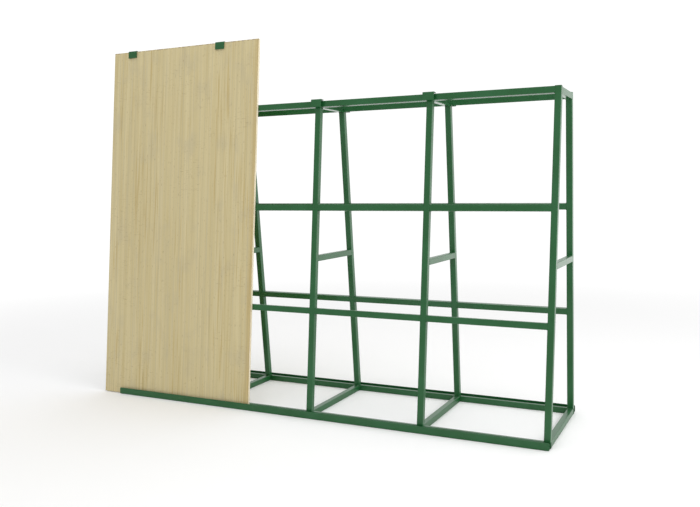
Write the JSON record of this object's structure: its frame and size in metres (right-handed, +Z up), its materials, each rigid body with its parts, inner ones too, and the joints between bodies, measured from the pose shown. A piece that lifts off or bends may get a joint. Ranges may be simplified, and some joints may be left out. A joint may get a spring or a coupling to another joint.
{
  "type": "sheet storage rack",
  "caption": "Free-standing A-frame rack of green square tube that stores boards and sheets on edge, with slots along the floor and telescopic hooks that hold the top edges.",
  "frame": {"origin": "on the floor at the middle of the rack, on the underside of the middle crossbar", "axes": "+X along the rack towards the end frame that has no retainers, +Y from the front face to the rear face, +Z up"},
  "size_m": [3.217, 0.8, 2.4439],
  "materials": {
    "green_paint": "gloss",
    "plastic": "satin",
    "timber": "satin"
  },
  "bodies": {
    "rack_frame": {"front_base_rail": "green_paint", "front_lip_angle": "green_paint", "rear_base_rail": "green_paint", "rear_lip_angle": "green_paint", "base_crossbar_1": "green_paint", "base_crossbar_2": "green_paint", "base_crossbar_3": "green_paint", "base_crossbar_4": "green_paint", "base_crossbar_5": "green_paint", "front_leg_1": "green_paint", "front_leg_2": "green_paint", "front_leg_3": "green_paint", "front_leg_4": "green_paint", "front_leg_5": "green_paint", "rear_leg_1": "green_paint", "rear_leg_2": "green_paint", "rear_leg_3": "green_paint", "rear_leg_4": "green_paint", "rear_leg_5": "green_paint", "front_lower_rails": "green_paint", "front_upper_rails": "green_paint", "front_top_rails": "green_paint", "rear_lower_rails": "green_paint", "rear_upper_rails": "green_paint", "rear_top_rails": "green_paint", "spreader_1": "green_paint", "spreader_2": "green_paint", "spreader_3": "green_paint", "spreader_4": "green_paint", "spreader_5": "green_paint", "end_rail_left": "green_paint", "end_rail_right": "green_paint", "top_tie_2": "green_paint", "top_tie_3": "green_paint", "top_tie_4": "green_paint", "guide_bushes": "plastic", "leg_caps": "plastic"},
    "front_retainer_1": {"front_retainer_post_1": "green_paint", "front_retainer_hook_1": "green_paint"},
    "front_retainer_2": {"front_retainer_post_2": "green_paint", "front_retainer_hook_2": "green_paint"},
    "front_retainer_3": {"front_retainer_post_3": "green_paint", "front_retainer_hook_3": "green_paint"},
    "front_retainer_4": {"front_retainer_post_4": "green_paint", "front_retainer_hook_4": "green_paint"},
    "rear_retainer_1": {"rear_retainer_post_1": "green_paint", "rear_retainer_hook_1": "green_paint"},
    "rear_retainer_2": {"rear_retainer_post_2": "green_paint", "rear_retainer_hook_2": "green_paint"},
    "rear_retainer_3": {"rear_retainer_post_3": "green_paint", "rear_retainer_hook_3": "green_paint"},
    "rear_retainer_4": {"rear_retainer_post_4": "green_paint", "rear_retainer_hook_4": "green_paint"},
    "stored_sheet": {"sheet": "timber"}
  },
  "joints": [
    {"name": "front_retainer_1_slide", "type": "slide", "parent": "rack_frame", "child": "front_retainer_1", "axis": [0, 0.0954, 0.9954], "range_m": [0, 0.219]},
    {"name": "front_retainer_2_slide", "type": "slide", "parent": "rack_frame", "child": "front_retainer_2", "axis": [0, 0.0954, 0.9954], "range_m": [0, 0.219]},
    {"name": "front_retainer_3_slide", "type": "slide", "parent": "rack_frame", "child": "front_retainer_3", "axis": [0, 0.0954, 0.9954], "range_m": [0, 0.65]},
    {"name": "front_retainer_4_slide", "type": "slide", "parent": "rack_frame", "child": "front_retainer_4", "axis": [0, 0.0954, 0.9954], "range_m": [0, 0.65]},
    {"name": "rear_retainer_1_slide", "type": "slide", "parent": "rack_frame", "child": "rear_retainer_1", "axis": [0, -0.0954, 0.9954], "range_m": [0, 0.65]},
    {"name": "rear_retainer_2_slide", "type": "slide", "parent": "rack_frame", "child": "rear_retainer_2", "axis": [0, -0.0954, 0.9954], "range_m": [0, 0.65]},
    {"name": "rear_retainer_3_slide", "type": "slide", "parent": "rack_frame", "child": "rear_retainer_3", "axis": [0, -0.0954, 0.9954], "range_m": [0, 0.65]},
    {"name": "rear_retainer_4_slide", "type": "slide", "parent": "rack_frame", "child": "rear_retainer_4", "axis": [0, -0.0954, 0.9954], "range_m": [0, 0.65]},
    {"name": "sheet_slide", "type": "slide", "parent": "rack_frame", "child": "stored_sheet", "axis": [1, 0, 0], "range_m": [-0.45, 0.4]}
  ]
}
